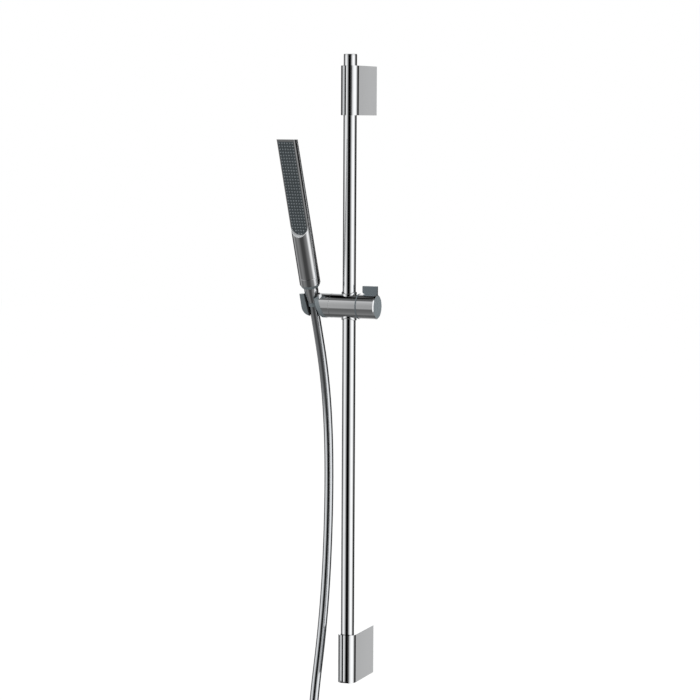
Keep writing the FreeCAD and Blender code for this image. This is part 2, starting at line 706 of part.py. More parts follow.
def make_spray_face():
    """The soft face with its moulded nozzles, the jet plate behind it and the seal."""
    front = "-spray_flat_depth"
    sheet_piece = stadium("mat_sheet", MAT_HALF_WIDTH, "spray_mat_top", front, "spray_mat_thickness")
    document.recompute()
    nozzles = make_nozzles()
    mat = fuse("spray_face", [sheet_piece, nozzles])
    keep(mat, "spray_mat")
    plate_front = f"{front} + spray_mat_thickness + running_clearance"
    keep(stadium("plate_behind", MAT_HALF_WIDTH, "spray_mat_top", plate_front, "jet_plate_thickness"),
         "jet_plate")
    seal_front = f"{plate_front} + jet_plate_thickness + running_clearance"
    outer = stadium("seal_outer", MAT_HALF_WIDTH, "spray_mat_top", seal_front, "seal_thickness")
    inner = stadium("seal_inner", f"({MAT_HALF_WIDTH} - seal_width)", "spray_mat_top - seal_width",
                    seal_front, "seal_thickness")
    keep(cut("seal_frame", outer, [inner]), "spray_seal")


def make_nozzles():
    """Six-sided nozzle tips in rows and columns over the soft face."""
    flat_half_width = math.sqrt((size("handset_diameter") / 2) ** 2 - size("spray_flat_depth") ** 2)
    mat_half_width = flat_half_width - size("spray_margin")
    round_centre = size("spray_flat_bottom") + flat_half_width
    root = size("nozzle_base_diameter") / 2
    tip = size("nozzle_tip_diameter") / 2
    sunk = size("nozzle_root_depth")
    face = -size("spray_flat_depth")
    columns = int(size("nozzle_columns"))
    first_column = -(columns - 1) / 2 * size("nozzle_column_pitch")
    room = mat_half_width - root - size("nozzle_edge_margin")
    row_top = size("spray_mat_top") - root - size("nozzle_top_margin")
    row_count = int((row_top - (round_centre - mat_half_width)) / size("nozzle_row_pitch"))
    solids = []
    for row in range(row_count + 1):
        along = row_top - row * size("nozzle_row_pitch")
        for column in range(columns):
            across = first_column + column * size("nozzle_column_pitch")
            below = round_centre - along
            if below > 0 and math.hypot(across, below) > room:
                continue
            solids.append(make_nozzle(across, face + sunk, along, root, tip, sunk))
    group = document.addObject("Part::Feature", "nozzle_tips")
    group.Shape = Part.makeCompound(solids)
    axis_point = (-size("handset_offset"), -size("wall_distance"), size("slider_centre_height"))
    group.Placement = FreeCAD.Placement(FreeCAD.Vector(*axis_point), TILT)
    return group


def make_nozzle(across, depth, along, root, tip, sunk):
    """One tapered six-sided tip that points to the front, its root inside the sheet."""
    levels = [(root, depth), (root, depth - sunk), (tip, depth - sunk - size("nozzle_height"))]
    wires = []
    for radius, back in levels:
        corners = [
            FreeCAD.Vector(across + radius * math.cos(math.radians(60 * k)), back,
                           along + radius * math.sin(math.radians(60 * k)))
            for k in range(7)
        ]
        wires.append(Part.makePolygon(corners))
    return Part.makeLoft(wires, True, True)


def make_hose_nut():
    """The cone nut that sits in the cup, its washer and filter, and the sleeve below."""
    bore = "spigot_diameter / 2 + 2 * running_clearance"
    height = "handset_bottom - running_clearance - nut_bottom"
    profile = [
        ("hose_bore / 2", 0),
        ("nut_bottom_radius", 0),
        ("nut_shoulder_radius", "nut_shoulder - nut_bottom"),
        ("nut_top_radius", height),
        (bore, height),
        (bore, "nut_floor_thickness"),
        ("hose_bore / 2", "nut_floor_thickness"),
    ]
    keep(turned("nut", profile, on_handset("nut_bottom"), TILT), "cone_nut")
    floor = "nut_bottom + nut_floor_thickness"
    disc = "spigot_diameter / 2"
    keep(turned("inlet_filter", [(0, 0), (disc, 0), (disc, "filter_thickness"), (0, "filter_thickness")],
                on_handset(floor), TILT), "flow_filter")
    keep(ring("sealing_washer", "hose_bore / 2", disc, "washer_thickness",
              on_handset(f"{floor} + filter_thickness"), TILT), "inlet_washer")
    keep(ring("sleeve_above", "hose_bore / 2", "top_sleeve_diameter / 2", "top_sleeve_length",
              on_handset("nut_bottom - top_sleeve_length"), TILT), "hose_top_sleeve")


def rounded_path(points):
    """Straight runs joined by tangent arcs, as large as the runs allow, and their radii."""
    vectors = [FreeCAD.Vector(*point) for point in points]
    edges = []
    radii = []
    start = vectors[0]
    for before, corner, after in zip(vectors, vectors[1:], vectors[2:]):
        incoming = (corner - before).normalize()
        outgoing = (after - corner).normalize()
        turn = incoming.getAngle(outgoing)
        trim = ARC_SHARE * min((corner - before).Length, (after - corner).Length)
        radii.append(trim / math.tan(turn / 2))
        arc_start = corner - incoming * trim
        arc_end = corner + outgoing * trim
        inward = (outgoing - incoming).normalize()
        to_middle = trim / math.sin(turn / 2) * (1 - math.cos(turn / 2)) / math.cos(turn / 2)
        middle = corner + inward * (to_middle * math.cos(turn / 2))
        edges.append(Part.LineSegment(start, arc_start).toShape())
        edges.append(Part.Arc(arc_start, middle, arc_end).toShape())
        start = arc_end
    edges.append(Part.LineSegment(start, vectors[-1]).toShape())
    return Part.Wire(edges), radii


def hose_end():
    """The point where the hanging hose runs into the coil."""
    return FreeCAD.Vector(*HOSE_POINTS[-1])


def make_hose():
    """The hanging stretch, swept along its route."""
    path, radii = rounded_path(HOSE_POINTS)
    radius = size("hose_diameter") / 2
    heading = FreeCAD.Vector(*HOSE_POINTS[1]) - FreeCAD.Vector(*HOSE_POINTS[0])
    circle = Part.Circle(FreeCAD.Vector(*HOSE_POINTS[0]), heading, radius).toShape()
    solid = path.makePipeShell([Part.Wire(circle)], True, False)
    hose = document.addObject("Part::Feature", "hanging_hose")
    hose.Shape = solid
    keep(hose, "hose_tube")
    print("bend radii", [round(value) for value in radii])
    print("hanging length", round(path.Length, 1), "volume ratio",
          round(solid.Volume / (math.pi * radius ** 2 * path.Length), 4))


def make_coil():
    """The tied rest of the hose: a flat ring of two turns, its tie and the free end."""
    radius = "hose_diameter / 2"
    thick = f"({radius} + coil_side_room)"
    pitch = "hose_diameter"
    back = hose_end()
    centre_y = f"({back.y} - coil_mean_radius)"
    centre_z = f"({back.z} - {COIL_CENTRE_DROP})"
    near = f"{back.x} + {thick}"
    width = f"coil_turns * {pitch} + 2 * {thick}"
    corner = "coil_corner"
    inner = f"coil_mean_radius - {thick}"
    outer = f"coil_mean_radius + {thick}"
    profile = [
        (f"{inner} + {corner}", 0),
        (f"{outer} - {corner}", 0),
        (outer, corner),
        (outer, f"{width} - {corner}"),
        (f"{outer} - {corner}", width),
        (f"{inner} + {corner}", width),
        (inner, f"{width} - {corner}"),
        (inner, corner),
    ]
    far = f"{near} - ({width})"
    keep(turned("coil", profile, (far, centre_y, centre_z), ALONG_X), "hose_coil")
    reach = f"({thick} + tie_slack)"
    wrap = "tie_thickness"
    front = f"{centre_y} - coil_mean_radius"
    outside = box("tie_outside", f"{width} + 2 * seat_clearance + 2 * {wrap}", f"2 * {reach} + 2 * {wrap}",
                  "tie_width", (f"{far} - seat_clearance - {wrap}", f"{front} - {reach} - {wrap}",
                                f"{centre_z} - tie_width / 2"))
    inside = box("tie_inside", f"{width} + 2 * seat_clearance", f"2 * {reach}", "2 * tie_width",
                 (f"{far} - seat_clearance", f"{front} - {reach}", f"{centre_z} - tie_width"))
    keep(cut("tie", outside, [inside]), "hose_tie")
    tail_x = f"{back.x} - coil_turns * {pitch}"
    tail_end = f"{centre_z} - hose_tail_length"
    keep(cylinder("tail", radius, "hose_tail_length", (tail_x, back.y, tail_end)), "hose_tail")
    sleeve_end = f"{tail_end} - end_sleeve_length"
    keep(ring("sleeve_below", "hose_bore / 2", "end_sleeve_diameter / 2", "end_sleeve_length",
              (tail_x, back.y, sleeve_end)), "hose_end_sleeve")
    nut_end = f"{sleeve_end} - end_nut_height"
    nut = hexagon("nut_blank", "end_nut_across_flats", "end_nut_height", (tail_x, back.y, nut_end))
    nut_bore = "end_nut_across_flats / 2 - end_nut_wall"
    thread = cylinder("nut_thread", nut_bore, "end_nut_height - end_nut_floor", (tail_x, back.y, nut_end))
    through = cylinder("nut_water_way", "hose_bore / 2", "end_nut_height", (tail_x, back.y, nut_end))
    keep(cut("end_nut", nut, [thread, through]), "hose_nut")
    washer_base = f"{sleeve_end} - end_nut_floor - end_washer_thickness"
    keep(ring("end_washer", "hose_bore / 2", f"{nut_bore} - running_clearance", "end_washer_thickness",
              (tail_x, back.y, washer_base)), "hose_washer")


def check_and_write():
    """Stop on any failed object, then write one file per sub-part."""
    document.recompute()
    for item in document.Objects:
        if "Invalid" in item.State or "Error" in item.State:
            raise RuntimeError(f"{item.Label} failed: {item.State}")
    os.makedirs("parts", exist_ok=True)
    for piece in SUB_PARTS:
        shape = piece.Shape
        if shape.isNull() or not shape.isValid() or shape.Volume <= 0:
            raise RuntimeError(f"{piece.Label} has no valid solid")
        shape.exportStep(f"parts/{piece.Label}.step")


make_rail()
for bracket_side, bracket_middle in (("lower", "0"), ("upper", "bracket_spacing")):
    make_wall_bracket(bracket_side, bracket_middle)
    make_wall_plate(bracket_side, bracket_middle)
    make_bracket_screws(bracket_side, bracket_middle)
make_liners()
make_slider_body()
make_lock_stub()
make_brake()
make_lock_collar()
make_holder_cup()
make_pivot_fittings()
make_handset_body()
make_end_ring()
make_spigot()
make_spray_face()
make_hose_nut()
make_hose()
make_coil()
check_and_write()
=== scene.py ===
import json
import math

import bmesh
import bpy
from mathutils import Matrix, Vector


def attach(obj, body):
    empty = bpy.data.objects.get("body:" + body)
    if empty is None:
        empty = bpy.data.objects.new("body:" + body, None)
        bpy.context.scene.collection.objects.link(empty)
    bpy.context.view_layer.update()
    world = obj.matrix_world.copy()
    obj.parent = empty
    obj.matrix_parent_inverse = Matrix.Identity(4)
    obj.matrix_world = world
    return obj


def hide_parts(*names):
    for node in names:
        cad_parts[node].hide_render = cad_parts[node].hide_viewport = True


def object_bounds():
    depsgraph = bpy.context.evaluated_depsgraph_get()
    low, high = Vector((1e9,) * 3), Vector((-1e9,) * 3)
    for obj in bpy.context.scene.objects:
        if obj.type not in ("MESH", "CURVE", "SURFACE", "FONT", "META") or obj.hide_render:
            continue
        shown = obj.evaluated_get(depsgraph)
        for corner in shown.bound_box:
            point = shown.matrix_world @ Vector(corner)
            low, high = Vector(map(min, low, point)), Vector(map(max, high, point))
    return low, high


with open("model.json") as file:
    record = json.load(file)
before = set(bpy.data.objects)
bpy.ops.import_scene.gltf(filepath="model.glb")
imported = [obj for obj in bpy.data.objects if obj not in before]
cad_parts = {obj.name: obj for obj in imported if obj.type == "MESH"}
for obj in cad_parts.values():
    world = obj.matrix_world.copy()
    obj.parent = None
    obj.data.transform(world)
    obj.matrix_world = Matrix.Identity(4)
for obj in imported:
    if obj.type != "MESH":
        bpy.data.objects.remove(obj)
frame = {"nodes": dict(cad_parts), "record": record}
cad_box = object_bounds()

MM = 0.001

# Camera, fitted to the rail's ends, the brackets and the slider
CAMERA_PLACE = Vector((1.2144, -3.1623, 0.7381))
CAMERA_AZIMUTH = math.radians(21.4)
CAMERA_PITCH = math.radians(5.387)
CAMERA_ROLL = math.radians(0.301)
CAMERA_LENS = 126.51
SENSOR_WIDTH = 36.0
CLIP_END = 50

# Axes of the main parts, in metres
SLIDER_PLACE = Vector((0, -67.5, 484.5)) * MM
HANDSET_PLACE = Vector((-52, -67.5, 484.5)) * MM
HANDSET_TILT = math.radians(22.8)
TO_RIGHT = Matrix.Rotation(math.radians(90), 4, "Y")
TO_FRONT = Matrix.Rotation(math.radians(90), 4, "X")
ALONG_RAIL = Matrix.Translation(Vector((0, -67.5, 0)) * MM)
ALONG_SLIDER = Matrix.Translation(SLIDER_PLACE) @ TO_RIGHT
ACROSS_SLIDER = Matrix.Translation(SLIDER_PLACE) @ TO_FRONT
ALONG_HOLDER = Matrix.Translation(HANDSET_PLACE) @ TO_RIGHT
ACROSS_HOLDER = Matrix.Translation(HANDSET_PLACE) @ TO_FRONT
ALONG_HANDSET = Matrix.Translation(HANDSET_PLACE) @ Matrix.Rotation(HANDSET_TILT, 4, "X")
SPRAY_FRONT = ALONG_HANDSET @ TO_FRONT

# Fineness of the meshes
SEGMENTS = 192
INNER_SEGMENTS = 64
NOZZLE_SEGMENTS = 12
ARC_STEPS = 48
SHARP_ANGLE = math.radians(34)
NORMAL_WEIGHT = 80

# How far most cutting shapes reach, in millimetres
PAST = 60


def add_camera():
    """The photograph's view: placed, turned and rolled a touch."""
    level = math.cos(CAMERA_PITCH)
    forward = Vector((-math.sin(CAMERA_AZIMUTH) * level, math.cos(CAMERA_AZIMUTH) * level,
                      -math.sin(CAMERA_PITCH)))
    right = Vector((math.cos(CAMERA_AZIMUTH), math.sin(CAMERA_AZIMUTH), 0))
    up = right.cross(forward)
    rolled_right = math.cos(CAMERA_ROLL) * right + math.sin(CAMERA_ROLL) * up
    rolled_up = math.cos(CAMERA_ROLL) * up - math.sin(CAMERA_ROLL) * right
    data = bpy.data.cameras.new("camera")
    data.lens = CAMERA_LENS
    data.sensor_width = SENSOR_WIDTH
    data.sensor_fit = "HORIZONTAL"
    data.clip_end = CLIP_END
    camera = bpy.data.objects.new("camera", data)
    axes = Matrix((rolled_right, rolled_up, -forward)).transposed().to_4x4()
    camera.matrix_world = Matrix.Translation(CAMERA_PLACE) @ axes
    bpy.context.collection.objects.link(camera)
    bpy.context.scene.camera = camera


# Materials

# Noise, by features per metre, and bump depths in metres
HAZE_SCALE, GRAIN_SCALE, SKIN_SCALE, CLOUD_SCALE = 60.0, 1500.0, 2500.0, 35.0
GRAIN_DEPTH, SKIN_DEPTH = 0.00002, 0.00005
HAZE_SHADE, CLOUD_SHADE = 0.97, 0.93
MOULDED_SPREAD = 0.05


class Nodes:
    """Adds nodes to one tree and links them."""

    def __init__(self, tree):
        self.tree = tree

    def add(self, kind, **settings):
        node = self.tree.nodes.new(kind)
        for name, value in settings.items():
            setattr(node, name, value)
        return node

    def link(self, source, target):
        self.tree.links.new(source, target)

    def math(self, operation, first, second):
        node = self.add("ShaderNodeMath", operation=operation)
        for socket, value in zip(node.inputs, (first, second)):
            if isinstance(value, bpy.types.NodeSocket):
                self.link(value, socket)
            else:
                socket.default_value = value
        return node.outputs[0]

    def ramp(self, source, stops):
        node = self.add("ShaderNodeValToRGB")
        band = node.color_ramp
        band.elements[0].position = stops[0][0]
        band.elements[1].position = stops[-1][0]
        for place, _ in stops[1:-1]:
            band.elements.new(place)
        for element, (_, colour) in zip(band.elements, stops):
            element.color = colour if len(colour) == 4 else (*colour, 1)
        self.link(source, node.inputs[0])
        return node.outputs[0]


def grey(level):
    return (level, level, level, 1)


def from_display(value):
    """A 0 to 255 display value as a linear level."""
    share = value / 255
    return share / 12.92 if share <= 0.04045 else ((share + 0.055) / 1.055) ** 2.4


def new_material(name):
    material = bpy.data.materials.new(name)
    material.use_nodes = True
    nodes = Nodes(material.node_tree)
    surface = material.node_tree.nodes["Principled BSDF"]
    place = nodes.add("ShaderNodeTexCoord").outputs["Object"]
    return material, nodes, surface, place


def noise(nodes, place, scale, detail=4.0):
    node = nodes.add("ShaderNodeTexNoise")
    node.inputs["Scale"].default_value = scale
    node.inputs["Detail"].default_value = detail
    nodes.link(place, node.inputs["Vector"])
    return node.outputs["Fac"]


def bump(nodes, surface, height, strength, distance):
    node = nodes.add("ShaderNodeBump")
    node.inputs["Strength"].default_value = strength
    node.inputs["Distance"].default_value = distance
    nodes.link(height, node.inputs["Height"])
    nodes.link(node.outputs["Normal"], surface.inputs["Normal"])


def shaded(colour, share):
    return tuple(share * part for part in colour)


def uneven_gloss(nodes, surface, pattern, roughness, spread):
    gloss = nodes.ramp(pattern, [(0.3, grey(roughness - spread)), (0.7, grey(roughness + spread))])
    nodes.link(gloss, surface.inputs["Roughness"])


def metal(name, colour, roughness, spread, grain=0.0):
    """Plated or bare metal, a little uneven in gloss, with a fine haze."""
    material, nodes, surface, place = new_material(name)
    surface.inputs["Metallic"].default_value = 1.0
    haze = noise(nodes, place, HAZE_SCALE)
    tint = nodes.ramp(haze, [(0.35, shaded(colour, HAZE_SHADE)), (0.65, colour)])
    nodes.link(tint, surface.inputs["Base Color"])
    uneven_gloss(nodes, surface, haze, roughness, spread)
    if grain:
        bump(nodes, surface, noise(nodes, place, GRAIN_SCALE, 2.0), grain, GRAIN_DEPTH)
    return material


def moulded(name, colour, roughness, texture=0.25):
    """Moulded or satin surface with a fine eroded skin and a faint cloud in its colour."""
    material, nodes, surface, place = new_material(name)
    skin = noise(nodes, place, SKIN_SCALE, 3.0)
    cloud = noise(nodes, place, CLOUD_SCALE)
    tint = nodes.ramp(cloud, [(0.3, shaded(colour, CLOUD_SHADE)), (0.7, colour)])
    nodes.link(tint, surface.inputs["Base Color"])
    uneven_gloss(nodes, surface, skin, roughness, MOULDED_SPREAD)
    bump(nodes, surface, skin, texture, SKIN_DEPTH)
    return material


MATERIALS = {
    "chrome": metal("chrome", (0.82, 0.83, 0.84), 0.04, 0.012),
    "satin_chrome": metal("satin_chrome", (0.33, 0.385, 0.42), 0.24, 0.03, 0.2),
    # Satin grey for the hose's top sleeve, and a painted reflection on the faces of the cup's lips and the
    # end ring's chamfer
    "satin_grey_and_painted_reflection": moulded("satin_grey_and_painted_reflection", (0.215, 0.25, 0.265), 0.28, 0.08),
    # Painted light: a lighter copy of the satin chrome for the end cap, which faces the light differently
    # from the lever
    "painted_light_cap_grey": moulded("painted_light_cap_grey", (0.34, 0.395, 0.42), 0.28, 0.08),
    # Painted highlight: a pale grey for the chrome rim round the spray face
    "painted_highlight_rim_grey": moulded("painted_highlight_rim_grey", (0.80, 0.82, 0.83), 0.30, 0.08),
    "grey_plastic": moulded("grey_plastic", (0.17, 0.20, 0.22), 0.38),
    "face_rubber": moulded("face_rubber", (0.066, 0.080, 0.088), 0.45),
    # Painted highlight: the face rubber made lighter for the nozzle tips
    "painted_highlight_nozzle_rubber": moulded("painted_highlight_nozzle_rubber", (0.24, 0.27, 0.285), 0.42, 0.1),
    "seal_rubber": moulded("seal_rubber", (0.012, 0.012, 0.013), 0.55),
    "white_plastic": moulded("white_plastic", (0.70, 0.70, 0.68), 0.40),
    "zinc": metal("zinc", (0.42, 0.42, 0.43), 0.42, 0.05, 0.5),
    "steel": metal("steel", (0.52, 0.52, 0.53), 0.28, 0.05, 0.3),
    "brass": metal("brass", (0.60, 0.46, 0.22), 0.30, 0.05, 0.3),
    "hose_skin": metal("hose_skin", (0.66, 0.68, 0.70), 0.16, 0.03, 0.1),
}


def dress(piece, look):
    """Give a piece its material, in all of its slots."""
    if not piece.data.materials:
        piece.data.materials.append(None)
    for slot in piece.material_slots:
        slot.material = MATERIALS[look]


def dress_cad_nodes():
    """Smooth the solids' round faces and give each its material."""
    slots = {row["node"]: row["material_slot"] for row in frame["record"]["subparts"]}
    for name, piece in frame["nodes"].items():
        dress(piece, slots[name])
        piece.data.shade_smooth()
        piece.data.set_sharp_from_angle(angle=SHARP_ANGLE)


# Mesh code

def rounded(corners, steps=4):
    """A closed outline from corners (x, y, radius), each corner turned into a small arc."""
    outline = []
    for index, corner in enumerate(corners):
        here = Vector(corner[:2])
        radius = corner[2] if len(corner) > 2 else 0
        if not radius:
            outline.append(here)
            continue
        before = Vector(corners[index - 1][:2]) - here
        after = Vector(corners[(index + 1) % len(corners)][:2]) - here
        half = before.angle(after) / 2
        trim = radius / math.tan(half)
        centre = here + (before.normalized() + after.normalized()).normalized() * radius / math.sin(half)
        first = here + before.normalized() * trim - centre
        last = here + after.normalized() * trim - centre
        turn = first.angle_signed(last)
        for step in range(steps + 1):
            arm = first.copy()
            arm.rotate(Matrix.Rotation(-turn * step / steps, 2))
            outline.append(centre + arm)
    return outline


def rectangle(left, near, right, far):
    return [(left, near), (right, near), (right, far), (left, far)]


def mesh_object(name, build, place):
    """A new mesh object from a function that fills a bmesh in millimetres."""
    shape = bmesh.new()
    build(shape)
    bmesh.ops.recalc_face_normals(shape, faces=shape.faces)
    shape.transform(place @ Matrix.Scale(MM, 4))
    mesh = bpy.data.meshes.new(name)
    shape.to_mesh(mesh)
    shape.free()
    piece = bpy.data.objects.new(name, mesh)
    bpy.context.collection.objects.link(piece)
    return piece


def turned(name, profile, place, segments=SEGMENTS, level=None):
    """A turned solid: a closed outline of (radius, height) spun about its axis.

    With level, each height is a rise over a curved surface that level works out."""
    def build(shape):
        rings = []
        for radius, height in profile:
            if radius < 1e-6:
                rings.append([shape.verts.new((0, 0, height))])
                continue
            points = [(radius * math.cos(2 * math.pi * k / segments),
                       radius * math.sin(2 * math.pi * k / segments)) for k in range(segments)]
            rings.append([shape.verts.new((x, y, level(height, y) if level else height)) for x, y in points])
        for first, second in zip(rings, rings[1:] + rings[:1]):
            for k in range(segments):
                after = (k + 1) % segments
                corners = [first[k % len(first)], first[after % len(first)],
                           second[after % len(second)], second[k % len(second)]]
                unique = list(dict.fromkeys(corners))
                if len(unique) > 2:
                    shape.faces.new(unique)
    return mesh_object(name, build, place)


def prism(name, outline, low, high, place):
    """A flat outline raised from one height to another."""
    def build(shape):
        bottom = [shape.verts.new((point[0], point[1], low)) for point in outline]
        top = [shape.verts.new((point[0], point[1], high)) for point in outline]
        shape.faces.new(bottom)
        shape.faces.new(top)
        for k in range(len(outline)):
            after = (k + 1) % len(outline)
            shape.faces.new((bottom[k], bottom[after], top[after], top[k]))
    return mesh_object(name, build, place)


def rod(name, radius, low, high, place):
    profile = [(0, low), (radius, low), (radius, high), (0, high)]
    return turned(name, profile, place, INNER_SEGMENTS)


def freeze(piece):
    """Replace a piece's mesh by what its modifiers make of it."""
    graph = bpy.context.evaluated_depsgraph_get()
    mesh = bpy.data.meshes.new_from_object(piece.evaluated_get(graph))
    piece.modifiers.clear()
    piece.data = mesh


def combine(piece, tool, operation):
    """Join, cut or intersect a piece with a tool, which is used up."""
    modifier = piece.modifiers.new("combine", "BOOLEAN")
    modifier.operation = operation
    modifier.solver = "EXACT"
    modifier.object = tool
    freeze(piece)
    bpy.data.objects.remove(tool)


def cut(piece, tool):
    combine(piece, tool, "DIFFERENCE")


def join(pieces):
    """Several pieces as one, each shell as it is. The first piece stays."""
    shape = bmesh.new()
    for piece in pieces:
        shape.from_mesh(piece.data)
    shape.to_mesh(pieces[0].data)
    shape.free()
    for piece in pieces[1:]:
        bpy.data.objects.remove(piece)
    return pieces[0]


def finish_piece(piece, slot, body, node, edge=0.0, look=None):
    """Break the edges, smooth the round faces, and give the piece its finish, body and node.

    The finish is the record's slot, unless look names one of its own."""
    dress(piece, look or slot)
    if edge:
        bevel = piece.modifiers.new("edge", "BEVEL")
        bevel.width = edge * MM
        bevel.segments = 2
        bevel.limit_method = "ANGLE"
        bevel.angle_limit = SHARP_ANGLE
        bevel.miter_outer = "MITER_ARC"
        freeze(piece)
    piece.data.shade_smooth()
    piece.data.set_sharp_from_angle(angle=SHARP_ANGLE)
    weighted = piece.modifiers.new("normals", "WEIGHTED_NORMAL")
    weighted.keep_sharp = True
    weighted.weight = NORMAL_WEIGHT
    freeze(piece)
    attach(piece, body)
    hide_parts(node)
    return piece


# Rail and brackets

# Sizes are in millimetres, and a section lists its corners by radius, height and rounding
RAIL_RADIUS, RAIL_BORE, RAIL_EDGE = 9.0, 7.8, 0.25
RAIL_BOTTOM, RAIL_TOP = -33.25, 823.75
PLUG_RIM = 1.6
PLUG_SECTION = [(0, 0), (RAIL_RADIUS, 0, 0.7), (RAIL_RADIUS, PLUG_RIM - 0.05, 0.15), (7.7, PLUG_RIM - 0.05),
                (7.7, 10.6, 0.2), (5.9, 10.6, 0.2), (5.9, 2.4), (0, 2.4)]
BRACKET_MIDDLES = {"lower": 0.0, "upper": 775.0}
BRACKET_WIDTH, BRACKET_HEIGHT, BRACKET_EDGE, WALL_DISTANCE = 25.0, 66.5, 0.3, 67.5
BRACKET_BORE = RAIL_RADIUS + 0.05
SLOT_HALF_ANGLE = math.radians(29)
NOSE_STEPS, BORE_STEPS = 72, 216
POCKET_HALF_WIDTH, POCKET_DEPTH, POCKET_HALF_HEIGHT = 8.9, 10.1, 25.9
PLATE_SCREW_RADIUS, PLATE_SCREW_DEPTH = 2.55, 5.0


def add_rail():
    """The tube and the plugs in its two ends."""
    low, high = RAIL_BOTTOM + PLUG_RIM, RAIL_TOP - PLUG_RIM
    tube = rounded([(RAIL_BORE, low), (RAIL_RADIUS, low, RAIL_EDGE), (RAIL_RADIUS, high, RAIL_EDGE),
                    (RAIL_BORE, high)])
    finish_piece(turned("rail", tube, ALONG_RAIL), "chrome", "rail", "rail_tube")
    for name, level, way in (("top", RAIL_TOP, 1), ("bottom", RAIL_BOTTOM, -1)):
        cap = [(radius, level - way * depth, *rounding) for radius, depth, *rounding in PLUG_SECTION]
        finish_piece(turned(f"{name}_cap", rounded(cap, 6), ALONG_RAIL), "chrome", "rail", f"{name}_plug")


def arc(radius, start, end, steps):
    """Points of a level arc about the rail, by angle from the right towards the front."""
    points = []
    for k in range(steps + 1):
        angle = start + (end - start) * k / steps
        points.append(Vector((radius * math.cos(angle), -radius * math.sin(angle) - WALL_DISTANCE)))
    return points


def bracket_outline():
    """The C-shaped section: flat sides, a round nose and a slot over the rail."""
    half = BRACKET_WIDTH / 2
    lip = math.pi / 2 - SLOT_HALF_ANGLE
    right = [Vector((half, 0)), *arc(half, 0, lip, NOSE_STEPS)]
    bore = arc(BRACKET_BORE, lip, lip - 2 * (math.pi - SLOT_HALF_ANGLE), BORE_STEPS)
    left = [Vector((-point.x, point.y)) for point in reversed(right)]
    return right + bore + left


def add_bracket(side, middle):
    """A clamp with a pocket for its wall plate and a hole for the screw from below."""
    low, high = middle - BRACKET_HEIGHT / 2, middle + BRACKET_HEIGHT / 2
    bracket = prism(f"{side}_clamp", bracket_outline(), low, high, Matrix())
    pocket = rectangle(-POCKET_HALF_WIDTH, -POCKET_DEPTH, POCKET_HALF_WIDTH, 1)
    cut(bracket, prism("pocket", pocket, middle - POCKET_HALF_HEIGHT, middle + POCKET_HALF_HEIGHT, Matrix()))
    screw_axis = Matrix.Translation(Vector((0, -PLATE_SCREW_DEPTH, 0)) * MM)
    cut(bracket, rod("hole", PLATE_SCREW_RADIUS, low - 1, middle, screw_axis))
    finish_piece(bracket, "chrome", "rail", f"{side}_bracket", edge=BRACKET_EDGE)


# Slider and lock

SLIDER_RADIUS, SLIDER_EDGE = 16.8, 0.35
SLIDER_LEFT, SLIDER_RIGHT = -24.0, 14.4
STUB_HOLE = 6.05
BARREL_SECTION = [
    (7.05, SLIDER_LEFT), (SLIDER_RADIUS, SLIDER_LEFT, SLIDER_EDGE),
    (SLIDER_RADIUS, SLIDER_RIGHT, SLIDER_EDGE), (STUB_HOLE, SLIDER_RIGHT), (STUB_HOLE, 10.75), (4.05, 10.75),
    (4.05, 0), (4.65, 0), (4.65, -13), (2.55, -13), (2.55, -16), (7.05, -16)]
PASSAGE_SECTION = [(0, -20), (9.7, -20), (9.7, -4.45), (9.35, -4.45), (9.35, 4.45), (9.7, 4.45), (9.7, 20),
                   (0, 20)]
COLLAR_BORE, COLLAR_RADIUS = 9.6, 10.3
COLLAR_ROOT, COLLAR_RISE = -1.5, 2.6
SEAM_RADIUS, SEAM_END, SEAM_EDGE = 17.3, 15.7, 0.3
LOCK_START, LOCK_END, LOCK_CHAMFER = 15.8, 41.07, 1.3
LOCK_MOUTH = SLIDER_RADIUS - LOCK_CHAMFER
HUB_HOLE, HUB_ROOM, HUB_FLOOR = 9.05, 12.0, 31.85
CAP_RADIUS, CAP_SEAT, CAP_EDGE = 15.4, 39.07, 0.3
LEVER_LEFT, LEVER_TOP, LEVER_THICKNESS, LEVER_EDGE = 19.7, 27.8, 3.6, 0.35
LEVER_FOOT, LEVER_BASE, LEVER_NECK = 23.3, 16.0, 16.9
LEVER_CORNER, LEVER_FOOT_RADIUS = 0.8, 3.5


def barrel_level(rise, across):
    """The height over the slider's axis of a surface that lies a given rise over its barrel."""
    return math.sqrt((SLIDER_RADIUS + rise) ** 2 - across ** 2)


def saddle_collar(name, way):
    """A ring round the rail that grows out of the barrel and follows its curve, up or down."""
    profile = rounded([(COLLAR_BORE, COLLAR_ROOT), (COLLAR_RADIUS, COLLAR_ROOT),
                       (COLLAR_RADIUS, COLLAR_RISE, 0.5), (COLLAR_BORE, COLLAR_RISE, 0.25)])
    return turned(name, profile, Matrix.Translation(SLIDER_PLACE),
                  level=lambda rise, across: way * barrel_level(rise, across))


def add_slider():
    """The cross tube with its bores and its two saddle collars."""
    barrel = turned("slider", rounded(BARREL_SECTION), ALONG_SLIDER)
    cut(barrel, turned("passage", PASSAGE_SECTION, Matrix.Translation(SLIDER_PLACE)))
    slider = join([barrel, saddle_collar("upper_saddle", 1), saddle_collar("lower_saddle", -1)])
    finish_piece(slider, "chrome", "slider", "slider_body")


